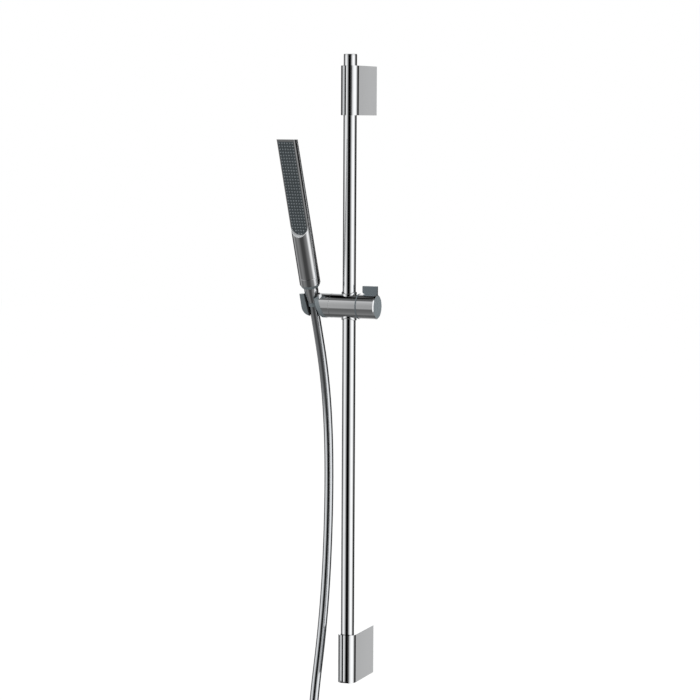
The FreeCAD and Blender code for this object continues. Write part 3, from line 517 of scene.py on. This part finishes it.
def add_lock():
    """The friction ring, the turning collar with its chamfer, its lever and the end cap."""
    seam = rounded([(STUB_HOLE, SLIDER_RIGHT), (SEAM_RADIUS, SLIDER_RIGHT, SEAM_EDGE),
                    (SEAM_RADIUS, SEAM_END, SEAM_EDGE), (STUB_HOLE, SEAM_END)])
    finish_piece(turned("seam_ring", seam, ALONG_SLIDER), "grey_plastic", "slider", "friction_ring")
    drum = rounded([
        (HUB_HOLE, LOCK_START), (SLIDER_RADIUS, LOCK_START, SLIDER_EDGE),
        (SLIDER_RADIUS, LOCK_END - LOCK_CHAMFER, 0.2), (LOCK_MOUTH, LOCK_END), (LOCK_MOUTH, CAP_SEAT),
        (HUB_ROOM, CAP_SEAT), (HUB_ROOM, HUB_FLOOR), (HUB_HOLE, HUB_FLOOR)])
    finish_piece(turned("lock_drum", drum, ALONG_SLIDER), "chrome", "lock", "lock_collar")
    lever = rounded([
        (LEVER_FOOT, LEVER_BASE), (LOCK_END, LEVER_BASE), (LOCK_END, LEVER_TOP, LEVER_CORNER),
        (LEVER_LEFT, LEVER_TOP, LEVER_CORNER), (LEVER_LEFT, LEVER_NECK, LEVER_FOOT_RADIUS),
        (LEVER_FOOT, LEVER_NECK)], 8)
    finish_piece(prism("lever", lever, -LEVER_THICKNESS / 2, LEVER_THICKNESS / 2, ACROSS_SLIDER),
                 "satin_chrome", "lock", "lock_collar", edge=LEVER_EDGE)
    cap = rounded([(0, CAP_SEAT), (CAP_RADIUS, CAP_SEAT), (CAP_RADIUS, LOCK_END, CAP_EDGE), (0, LOCK_END)])
    # The end cap's lighter grey is painted light on satin chrome
    finish_piece(turned("lock_cap", cap, ALONG_SLIDER), "satin_chrome", "lock", "end_cap", look="painted_light_cap_grey")


# Holder

CUP_RADIUS, CUP_TOP, CUP_BORE = 16.9, 15.3, 8.0
CUP_BORE_SLOPE = math.radians(4.3)
CUP_SLOT = math.radians(56)
BALL_STEPS = 24
CONE_REACH = 40
# Painted shade: a dark cone in the gap between the cup and the hose nut, by thickness and inset
SHADE_LINER_THICKNESS, SHADE_LINER_INSET = 1.9, 0.1
DRUM_START = -10
DRUM_SECTION = [(0, DRUM_START), (SLIDER_RADIUS, DRUM_START), (SLIDER_RADIUS, 27.9, 0.3), (7.0, 27.9),
                (7.0, 35.8), (0, 35.8)]
PIVOT_SCREW_RADIUS, PIVOT_SCREW_START, PIVOT_SCREW_END = 2.55, 25, 40
LIP_START, LIP_END, LIP_SLANT = 9.6, 15.7, 0.33
LIP_SPLIT = LIP_START - 0.07
LIP_EDGE = 0.3
BAND_BORE, BAND_RADIUS = 13.5, SLIDER_RADIUS + 0.12
BAND_START, BAND_REACH, BAND_EDGE = LIP_START - 0.1, 27, 0.1


def lip_plane(offset):
    """A slanted cut across the holder's axis, as a prism that takes all to the left of it."""
    outline = [(-PAST, -PAST), (offset + LIP_SLANT * PAST, -PAST), (offset - LIP_SLANT * PAST, PAST),
               (-PAST, PAST)]
    return prism("lip_plane", outline, -PAST, PAST, ACROSS_HOLDER)


def cone(name, room=0.0):
    """The tapered seat of the hose nut along the handset, with room round it."""
    rise = CONE_REACH * math.tan(CUP_BORE_SLOPE)
    radius = CUP_BORE + room
    return turned(name, [(0, -CONE_REACH), (radius - rise, -CONE_REACH), (radius + rise, CONE_REACH),
                         (0, CONE_REACH)], ALONG_HANDSET)


def cup_barrel(name, radius):
    """A barrel along the handset with a round foot, level at the top and slotted in front."""
    half = math.pi / 2
    ball = [(radius * math.sin(half * k / BALL_STEPS), -radius * math.cos(half * k / BALL_STEPS))
            for k in range(BALL_STEPS + 1)]
    barrel = turned(name, ball + [(radius, CONE_REACH), (0, CONE_REACH)], ALONG_HANDSET)
    level = rectangle(-CONE_REACH, -PAST, CONE_REACH, PAST)
    cut(barrel, prism("above", level, CUP_TOP, CUP_TOP + PAST, Matrix.Translation(HANDSET_PLACE)))
    wedge = [(0, 0)]
    for k in range(ARC_STEPS + 1):
        turn = -half - CUP_SLOT + 2 * CUP_SLOT * k / ARC_STEPS
        wedge.append((2 * radius * math.cos(turn), 2 * radius * math.sin(turn)))
    cut(barrel, prism("slot", wedge, -PAST, PAST, ALONG_HANDSET))
    return barrel


def add_cup():
    """The slotted cone cup: a left lip with a round foot, and a drum that carries the right lip."""
    cup = cup_barrel("cup", CUP_RADIUS)
    drum = turned("drum", rounded(DRUM_SECTION), ALONG_HOLDER)
    cut(drum, lip_plane(LIP_START))
    combine(cup, drum, "UNION")
    cut(cup, cone("seat", SHADE_LINER_THICKNESS))
    cut(cup, rod("screw_hole", PIVOT_SCREW_RADIUS, PIVOT_SCREW_START, PIVOT_SCREW_END, ALONG_HOLDER))
    left_lip = bpy.data.objects.new("left_lip", cup.data.copy())
    bpy.context.collection.objects.link(left_lip)
    combine(left_lip, lip_plane(LIP_SPLIT), "INTERSECT")
    cut(cup, lip_plane(LIP_SPLIT))
    # The left lip's satin grey is a painted reflection, lighter than the rest of the cup
    finish_piece(left_lip, "satin_chrome", "holder", "holder_cup", edge=LIP_EDGE, look="satin_grey_and_painted_reflection")
    finish_piece(cup, "chrome", "holder", "holder_cup")


def add_shade_liner():
    """A dark cone between the cup and the hose nut: painted shade for the gap inside the cup."""
    liner = cup_barrel("painted_shade_liner", CUP_RADIUS - SHADE_LINER_INSET)
    combine(liner, cone("outside", SHADE_LINER_THICKNESS), "INTERSECT")
    cut(liner, cone("inside"))
    finish_piece(liner, "seal_rubber", "holder", "holder_cup")


def add_lip_band():
    """The band on the right lip, between two slanted cuts of the drum, grey as a painted reflection."""
    band = turned("lip_band", rectangle(BAND_BORE, DRUM_START, BAND_RADIUS, BAND_REACH), ALONG_HOLDER)
    cut(band, lip_plane(BAND_START))
    combine(band, lip_plane(LIP_END), "INTERSECT")
    cut(band, cone("seat", SHADE_LINER_THICKNESS))
    cut(band, prism("back", rectangle(-PAST, 0, PAST, PAST), -PAST, PAST, ALONG_HANDSET))
    finish_piece(band, "satin_chrome", "holder", "holder_cup", edge=BAND_EDGE, look="satin_grey_and_painted_reflection")


# Handset

HANDSET_RADIUS, HANDSET_EDGE = 14.1, 0.3
NUT_SECTION = [(4, 6), (7.6, 6, 0.3), (9.6, 20), (9.8, 28.75, 0.3), (6.6, 28.75), (6.6, 12), (4, 12)]
SLEEVE_SECTION = [(4, -0.5), (6.8, -0.5, 0.3), (6.8, 5.95, 0.3), (4, 5.95)]
RING_BORE, RING_CHAMFER_END = 6.55, 33.3
CHAMFER_SECTION = [(RING_BORE, 28.8), (12, 28.8, 0.3), (HANDSET_RADIUS, RING_CHAMFER_END),
                   (RING_BORE, RING_CHAMFER_END)]
RING_SECTION = [(RING_BORE, RING_CHAMFER_END), (HANDSET_RADIUS, RING_CHAMFER_END, 0.1),
                (HANDSET_RADIUS, 43.95, 0.4), (RING_BORE, 43.95)]
STICK_SECTION = [(0, 112), (8, 112), (8, 47.05), (10.05, 47.05), (10.05, 44), (HANDSET_RADIUS, 44, 0.4),
                 (13.67, 275), (0, 275)]
FLAT_DEPTH, FLAT_START, FLAT_END = 6.2, 107.4, 246.8
FLAT_HALF_WIDTH = math.sqrt(HANDSET_RADIUS ** 2 - FLAT_DEPTH ** 2)
ROUND_CENTRE = FLAT_START + FLAT_HALF_WIDTH
HANDSET_TOP = FLAT_END * math.cos(HANDSET_TILT) - FLAT_DEPTH * math.sin(HANDSET_TILT)
FACE_RIM, RIM_GAP, RIM_DROP = 0.45, 0.02, 0.05
MAT_HALF_WIDTH, MAT_REACH = FLAT_HALF_WIDTH - 1.75, FLAT_HALF_WIDTH - FACE_RIM - 0.1
MAT_TOP, MAT_THICKNESS, MAT_EDGE = 243.4, 1.6, 0.25
# The cuts for the spray face: half width, reach of the round end, top and depth under the flat
FACE_CUTS = {
    "flat": (FLAT_HALF_WIDTH, FLAT_HALF_WIDTH, 280, 0),
    "recess": (FLAT_HALF_WIDTH - 1.65, FLAT_HALF_WIDTH - FACE_RIM, MAT_TOP + 0.1, 4.75),
    "chamber": (FLAT_HALF_WIDTH - 3.35, FLAT_HALF_WIDTH - 3.35, MAT_TOP - 1.6, 7.75),
}
CUT_FRONT = 30
TOP_CUT_FRONT, TOP_CUT_RISE = -160, 80
NOZZLE_ROOT, NOZZLE_TOP_MARGIN = 1.25, 1.0
NOZZLE_SECTION = [(0, -0.2), (NOZZLE_ROOT, -0.2), (0.7, 0.8, 0.2), (0.22, 0.8, 0.05), (0.22, 0.4), (0, 0.4)]
NOZZLE_COLUMNS, NOZZLE_COLUMN_PITCH, NOZZLE_ROW_PITCH = 6, 3.75, 4.37


def add_hose_nut():
    """The cone nut in the cup and the plain sleeve under it."""
    finish_piece(turned("nut", rounded(NUT_SECTION), ALONG_HANDSET), "chrome", "holder", "cone_nut")
    finish_piece(turned("sleeve", rounded(SLEEVE_SECTION), ALONG_HANDSET), "satin_chrome", "holder",
                 "hose_top_sleeve", look="satin_grey_and_painted_reflection")


def lower_arc(half_width, reach):
    """The round lower end of the spray face, from right to left."""
    turns = [math.pi * k / ARC_STEPS for k in range(ARC_STEPS + 1)]
    return [(half_width * math.cos(turn), ROUND_CENTRE - reach * math.sin(turn)) for turn in turns]


def front_plate(name, half_width, reach, top, back, front):
    """A plate with a round lower end, between two depths in front of the handset's axis."""
    outline = [(half_width, top), *lower_arc(half_width, reach), (-half_width, top)]
    return prism(name, outline, back, front, SPRAY_FRONT)


def add_face_rim():
    """The rim round the lower end of the spray face, as high as the stick's round front, pale as a painted
    highlight of its chrome edge.
    """
    outer = FLAT_HALF_WIDTH - RIM_GAP
    inner = outer - FACE_RIM
    bottom = FLAT_DEPTH - 0.1

    def build(shape):
        rings = []
        for (x, y), (near_x, near_y) in zip(lower_arc(outer, outer), lower_arc(inner, inner)):
            top = math.sqrt(HANDSET_RADIUS ** 2 - x ** 2) - RIM_DROP
            corners = ((x, y, bottom), (x, y, top), (near_x, near_y, top), (near_x, near_y, bottom))
            rings.append([shape.verts.new(corner) for corner in corners])
        for first, second in zip(rings, rings[1:]):
            for k in range(4):
                after = (k + 1) % 4
                shape.faces.new((first[k], first[after], second[after], second[k]))
        shape.faces.new(rings[0])
        shape.faces.new(rings[-1])
    finish_piece(mesh_object("face_rim", build, SPRAY_FRONT), "chrome", "holder", "handset_body",
                 look="painted_highlight_rim_grey")


def add_handset():
    """The stick: end ring with its chamfer, and a body with a level top and a flat spray front."""
    # The chamfer's satin grey is a painted reflection on the chrome end ring
    finish_piece(turned("ring_chamfer", rounded(CHAMFER_SECTION), ALONG_HANDSET), "chrome", "holder",
                 "handset_end_ring", look="satin_grey_and_painted_reflection")
    finish_piece(turned("end_ring", rounded(RING_SECTION), ALONG_HANDSET), "chrome", "holder",
                 "handset_end_ring")
    stick = turned("stick", rounded(STICK_SECTION), ALONG_HANDSET)
    level = rectangle(-PAST, TOP_CUT_FRONT, PAST, PAST)
    above = prism("above", level, HANDSET_TOP, HANDSET_TOP + TOP_CUT_RISE, Matrix.Translation(HANDSET_PLACE))
    cut(stick, above)
    for name, (half_width, reach, top, depth) in FACE_CUTS.items():
        cut(stick, front_plate(name, half_width, reach, top, FLAT_DEPTH - depth, CUT_FRONT))
    finish_piece(stick, "chrome", "holder", "handset_body", edge=HANDSET_EDGE)


def nozzle_places():
    """Across and along the handset: rows and columns that keep clear of the mat's edge."""
    top = MAT_TOP - NOZZLE_ROOT - NOZZLE_TOP_MARGIN
    rows = int((top - (ROUND_CENTRE - MAT_REACH)) / NOZZLE_ROW_PITCH)
    inside = 1 - NOZZLE_ROOT / MAT_HALF_WIDTH
    for row in range(rows + 1):
        along = top - row * NOZZLE_ROW_PITCH
        for column in range(NOZZLE_COLUMNS):
            across = (column - (NOZZLE_COLUMNS - 1) / 2) * NOZZLE_COLUMN_PITCH
            below = max(0, ROUND_CENTRE - along)
            if math.hypot(across / MAT_HALF_WIDTH, below / MAT_REACH) < inside:
                yield across, along


def add_spray_face():
    """The soft mat with its moulded nozzles, each with a round tip and a fine hole."""
    mat = front_plate("mat", MAT_HALF_WIDTH, MAT_REACH, MAT_TOP, FLAT_DEPTH - MAT_THICKNESS, FLAT_DEPTH)
    finish_piece(mat, "face_rubber", "holder", "spray_mat", edge=MAT_EDGE)
    profile = rounded(NOZZLE_SECTION, 3)
    tips = []
    for across, along in nozzle_places():
        place = SPRAY_FRONT @ Matrix.Translation(Vector((across, along, FLAT_DEPTH)) * MM)
        tips.append(turned("tip", profile, place, NOZZLE_SEGMENTS))
    # The nozzles' lighter rubber is a painted highlight on their tips
    finish_piece(join(tips), "face_rubber", "holder", "spray_mat", look="painted_highlight_nozzle_rubber")


# Hose, in metres: the same route and coil as the solids, and the fittings on it in millimetres

HOSE_DIAMETER = 12.5 * MM
HOSE_POINTS = [
    (-0.0520, -0.06725, 0.4839),
    (-0.0516, -0.0501, 0.4430),
    (-0.0502, -0.0355, 0.3980),
    (-0.0490, -0.0255, 0.3500),
    (-0.0481, -0.0205, 0.3000),
    (-0.0475, -0.0195, 0.2500),
    (-0.0469, -0.0218, 0.2000),
    (-0.0462, -0.0268, 0.1500),
    (-0.0457, -0.0338, 0.1000),
    (-0.0462, -0.0415, 0.0520),
    (-0.0481, -0.0490, 0.0050),
    (-0.0513, -0.0560, -0.0420),
    (-0.0542, -0.0600, -0.0880),
]
COIL_START = Vector((-0.0555, -0.0610, -0.1400))
COIL_RADIUS = 65 * MM
COIL_TURNS = 2
COIL_STEPS = 16
TAIL_LENGTH = 48 * MM
STRAP_GAP, STRAP_THICKNESS, STRAP_HALF_HEIGHT, STRAP_EDGE = 0.4, 1.0, 5, 0.25
END_SLEEVE_SECTION = [(4, -18), (7.5, -18, 0.3), (7.5, 0, 0.5), (4, 0)]
NUT_FLATS, NUT_BOTTOM, NUT_TOP, NUT_EDGE = 24.0, -32, -18, 0.2
NUT_OUTSIDE = [(0, NUT_BOTTOM), (12.1, NUT_BOTTOM), (14, -30.9), (14, -19.1), (12.1, NUT_TOP), (0, NUT_TOP)]
NUT_INSIDE = [(0, -33), (10, -33), (10, -21), (4, -21), (4, -17), (0, -17)]


def strap_outline(half_long, half_short):
    """A rectangle with wide round corners, about the axis of the strap."""
    radius = half_short - STRAP_GAP
    corners = rectangle(-half_long, -half_short, half_long, half_short)
    return rounded([(*corner, radius) for corner in corners], 12)


def add_strap():
    """The strap round the coil's two turns."""
    middle = COIL_START - Vector((COIL_TURNS * HOSE_DIAMETER / 2, 2 * COIL_RADIUS, 0))
    place = Matrix.Translation(middle)
    diameter = HOSE_DIAMETER / MM
    half_long, half_short = COIL_TURNS * diameter / 2 + STRAP_GAP, diameter / 2 + STRAP_GAP
    outside = strap_outline(half_long + STRAP_THICKNESS, half_short + STRAP_THICKNESS)
    strap = prism("strap", outside, -STRAP_HALF_HEIGHT, STRAP_HALF_HEIGHT, place)
    cut(strap, prism("room", strap_outline(half_long, half_short), -PAST, PAST, place))
    return finish_piece(strap, "seal_rubber", "holder", "hose_tie", edge=STRAP_EDGE)


def add_end_fittings():
    """The sleeve and the nut on the hose's free end."""
    place = Matrix.Translation(COIL_START - Vector((COIL_TURNS * HOSE_DIAMETER, 0, TAIL_LENGTH)))
    sleeve = finish_piece(turned("end_sleeve", rounded(END_SLEEVE_SECTION), place), "satin_chrome", "holder",
                          "hose_end_sleeve")
    corner = NUT_FLATS / 2 / math.cos(math.pi / 6)
    hexagon = [(corner * math.cos(math.pi * k / 3), corner * math.sin(math.pi * k / 3)) for k in range(6)]
    nut = prism("end_nut", hexagon, NUT_BOTTOM, NUT_TOP, place)
    combine(nut, turned("nut_outside", NUT_OUTSIDE, place), "INTERSECT")
    cut(nut, turned("nut_inside", NUT_INSIDE, place, INNER_SEGMENTS))
    finish_piece(nut, "chrome", "holder", "hose_nut", edge=NUT_EDGE)
    return sleeve, nut


def hose_route():
    """The hanging stretch, the coil's two turns and the free end, as control points."""
    points = [Vector(point) for point in HOSE_POINTS]
    centre = COIL_START - Vector((0, COIL_RADIUS, 0))
    for step in range(COIL_TURNS * COIL_STEPS + 1):
        turn = 2 * math.pi * step / COIL_STEPS
        aside = HOSE_DIAMETER * step / COIL_STEPS
        points.append(centre + Vector((-aside, COIL_RADIUS * math.cos(turn), -COIL_RADIUS * math.sin(turn))))
    end = points[-1]
    for share in (0.5, 1.0):
        points.append(end - Vector((0, 0, TAIL_LENGTH * share)))
    return points


def add_hose(fittings):
    data = bpy.data.curves.new("hose", "CURVE")
    data.dimensions = "3D"
    spline = data.splines.new("NURBS")
    points = hose_route()
    spline.points.add(len(points) - 1)
    for point, place in zip(spline.points, points):
        point.co = (*place, 1)
    spline.order_u = 3
    spline.use_endpoint_u = True
    spline.resolution_u = 12
    data.bevel_depth = HOSE_DIAMETER / 2
    data.bevel_resolution = 12
    data.use_fill_caps = True
    hose = bpy.data.objects.new("hose", data)
    bpy.context.collection.objects.link(hose)
    data.materials.append(MATERIALS["hose_skin"])
    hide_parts("hose_tube", "hose_coil", "hose_tail")
    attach(hose, "holder")


# Studio

SKY_LEVEL = 0.80
GLOSS_GAIN = 1.22
# Display brightness round the studio, by the angle in degrees from the photograph's viewing side
STUDIO_BANDS = [
    (-180, 255), (-168, 60), (-138, 50), (-125, 80), (-112, 130), (-100, 170), (-88, 230), (-75, 245),
    (-62, 215), (-50, 185), (-43, 158), (-36, 85), (-28, 20), (-22, 0), (-2, 0), (6, 40), (16, 130),
    (28, 200), (42, 245), (55, 255), (70, 255), (80, 225), (90, 165), (98, 95), (106, 35), (118, 18),
    (136, 18), (136.6, 180), (139, 180), (139.6, 18), (168, 30), (180, 255),
]
# How much of those bands shows at each height, read along a plane that dips to the right
BAND_DIP = 0.106
STUDIO_SHARE = [(-90, 0.15), (-29, 0.15), (-18.5, 1.0), (40, 1.0), (47, 0.0), (90, 0.0)]
# What shows beside them, by the angle from the front up and over to the back
STUDIO_REST = [
    (-180, 200), (-150, 190), (-125, 110), (-105, 76), (-90, 70), (-30, 70), (41, 150), (51, 120),
    (61, 78), (72, 96), (83, 88), (91, 18), (97, 0), (112, 0), (120, 50), (130, 150), (150, 200),
    (180, 200),
]
FLOOR_HALF_WIDTH, FLOOR_DROP = 8.0, 4 * MM
FLOOR_COLOUR, FLOOR_GLOW = 0.55, 0.56
KEY_POWER = 14.0
KEY_SIZE = (1.2, 1.6)
KEY_PLACE = Vector((-1.1, -1.9, 1.9))
KEY_AIM = Vector((0, -0.07, 0.45))


def angle_share(nodes, across, along):
    """The angle of two components as a share of a full turn, 0.5 where the second one points."""
    return nodes.math("ADD", nodes.math("DIVIDE", nodes.math("ARCTAN2", across, along), 2 * math.pi), 0.5)


def studio_ramp(nodes, angle, bands):
    return nodes.ramp(angle, [(0.5 + degrees / 360, grey(from_display(level))) for degrees, level in bands])


def studio_colour(nodes):
    """Soft boxes and dark gaps round the object, for the gloss."""
    split = nodes.add("ShaderNodeSeparateXYZ")
    nodes.link(nodes.add("ShaderNodeTexCoord").outputs["Generated"], split.inputs[0])
    east, north, height = split.outputs
    sine, cosine = math.sin(CAMERA_AZIMUTH), math.cos(CAMERA_AZIMUTH)
    along = nodes.math("SUBTRACT", nodes.math("MULTIPLY", east, sine), nodes.math("MULTIPLY", north, cosine))
    across = nodes.math("ADD", nodes.math("MULTIPLY", east, cosine), nodes.math("MULTIPLY", north, sine))
    bands = studio_ramp(nodes, angle_share(nodes, across, along), STUDIO_BANDS)
    dipped = nodes.math("ADD", height, nodes.math("MULTIPLY", across, BAND_DIP))
    level = nodes.math("ADD", nodes.math("MULTIPLY", dipped, 0.5), 0.5)
    share = nodes.ramp(level, [(0.5 + math.sin(math.radians(degrees)) / 2, grey(part))
                               for degrees, part in STUDIO_SHARE])
    rest = studio_ramp(nodes, angle_share(nodes, height, along), STUDIO_REST)
    mixed = nodes.add("ShaderNodeMix", data_type="RGBA")
    nodes.link(share, mixed.inputs["Factor"])
    nodes.link(rest, mixed.inputs["A"])
    nodes.link(bands, mixed.inputs["B"])
    return mixed.outputs["Result"]


def add_world():
    """White to the eye, level light on dull surfaces, and the studio for the gloss."""
    world = bpy.data.worlds.new("studio")
    bpy.context.scene.world = world
    world.use_nodes = True
    nodes = Nodes(world.node_tree)
    world.node_tree.nodes.clear()
    backgrounds = {}
    for name, strength in (("dull", SKY_LEVEL), ("gloss", GLOSS_GAIN), ("seen", 1.0)):
        node = nodes.add("ShaderNodeBackground")
        node.inputs["Color"].default_value = grey(1.0)
        node.inputs["Strength"].default_value = strength
        backgrounds[name] = node
    nodes.link(studio_colour(nodes), backgrounds["gloss"].inputs["Color"])
    path = nodes.add("ShaderNodeLightPath")
    shader = backgrounds["dull"].outputs[0]
    for ray, name in (("Is Glossy Ray", "gloss"), ("Is Camera Ray", "seen")):
        mix = nodes.add("ShaderNodeMixShader")
        nodes.link(path.outputs[ray], mix.inputs[0])
        nodes.link(shader, mix.inputs[1])
        nodes.link(backgrounds[name].outputs[0], mix.inputs[2])
        shader = mix.outputs[0]
    nodes.link(shader, nodes.add("ShaderNodeOutputWorld").inputs["Surface"])


def add_floor():
    """A pale floor that looks white and keeps a soft shadow."""
    half = FLOOR_HALF_WIDTH
    height = cad_box[0][2] - FLOOR_DROP
    mesh = bpy.data.meshes.new("floor")
    corners = [(*corner, height) for corner in rectangle(-half, -half, half, half)]
    mesh.from_pydata(corners, [], [(0, 1, 2, 3)])
    floor = bpy.data.objects.new("floor", mesh)
    bpy.context.collection.objects.link(floor)
    material = bpy.data.materials.new("floor")
    material.use_nodes = True
    nodes = Nodes(material.node_tree)
    material.node_tree.nodes.clear()
    dull = nodes.add("ShaderNodeBsdfDiffuse")
    dull.inputs["Color"].default_value = grey(FLOOR_COLOUR)
    glow = nodes.add("ShaderNodeEmission")
    glow.inputs["Color"].default_value = grey(1.0)
    seen = nodes.add("ShaderNodeLightPath").outputs["Is Camera Ray"]
    nodes.link(nodes.math("MULTIPLY", seen, FLOOR_GLOW), glow.inputs["Strength"])
    both = nodes.add("ShaderNodeAddShader")
    nodes.link(dull.outputs[0], both.inputs[0])
    nodes.link(glow.outputs[0], both.inputs[1])
    nodes.link(both.outputs[0], nodes.add("ShaderNodeOutputMaterial").inputs["Surface"])
    mesh.materials.append(material)
    floor.visible_glossy = False


def add_key_light():
    data = bpy.data.lights.new("key", "AREA")
    data.shape = "RECTANGLE"
    data.size, data.size_y = KEY_SIZE
    data.energy = KEY_POWER
    lamp = bpy.data.objects.new("key", data)
    turn = (KEY_AIM - KEY_PLACE).to_track_quat("-Z", "Y").to_matrix().to_4x4()
    lamp.matrix_world = Matrix.Translation(KEY_PLACE) @ turn
    lamp.visible_glossy = False
    bpy.context.collection.objects.link(lamp)


bpy.context.scene.view_settings.view_transform = "Standard"
add_camera()
add_world()
add_floor()
add_key_light()
dress_cad_nodes()
add_rail()
for bracket_side, bracket_middle in BRACKET_MIDDLES.items():
    add_bracket(bracket_side, bracket_middle)
add_slider()
add_lock()
add_cup()
add_shade_liner()
add_lip_band()
add_hose_nut()
add_handset()
add_face_rim()
add_spray_face()
add_hose([add_strap(), *add_end_fittings()])
